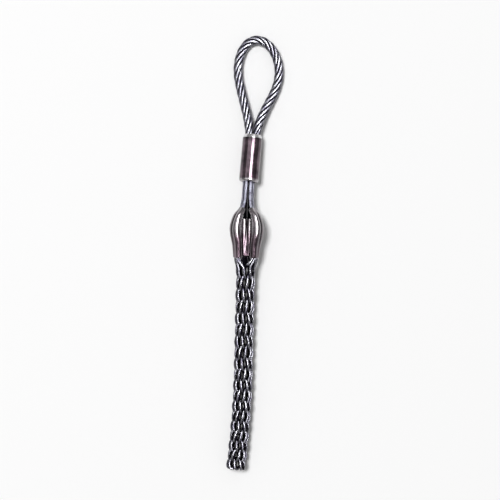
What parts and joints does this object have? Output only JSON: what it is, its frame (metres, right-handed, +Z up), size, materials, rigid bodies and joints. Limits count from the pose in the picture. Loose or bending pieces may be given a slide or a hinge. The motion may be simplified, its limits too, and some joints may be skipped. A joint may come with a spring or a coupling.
{
  "type": "cable pulling grip",
  "caption": "Woven wire pulling grip: a laid wire rope eye, a pressed main sleeve, wire legs with bowed splice sleeves, and a tubular mesh that closes round a cable when pulled.",
  "frame": {"origin": "on the ground under the middle of the grip's bounding box", "axes": "+Y along the grip towards the pulling eye, +Z up from the ground that it lies on, +X to the right seen from above"},
  "size_m": [0.0402, 0.3046, 0.0213],
  "materials": {
    "rope_steel": "bright galvanised wire rope",
    "strand_steel": "bright galvanised wire",
    "sleeve_steel": "pressed steel, dark and slightly glossy"
  },
  "bodies": {
    "root": {"eye_rope": "rope_steel", "main_sleeve": "sleeve_steel", "splice_sleeve_1": "sleeve_steel", "splice_sleeve_2": "sleeve_steel", "splice_sleeve_3": "sleeve_steel", "leg_strand_1": "strand_steel", "leg_strand_2": "strand_steel", "leg_strand_3": "strand_steel", "leg_strand_4": "strand_steel", "leg_strand_5": "strand_steel", "leg_strand_6": "strand_steel", "mesh_strand_1": "strand_steel", "mesh_strand_2": "strand_steel", "mesh_strand_3": "strand_steel", "mesh_strand_4": "strand_steel", "mesh_strand_5": "strand_steel", "mesh_strand_6": "strand_steel", "mesh_strand_7": "strand_steel", "mesh_strand_8": "strand_steel", "mesh_strand_9": "strand_steel"}
  },
  "joints": []
}
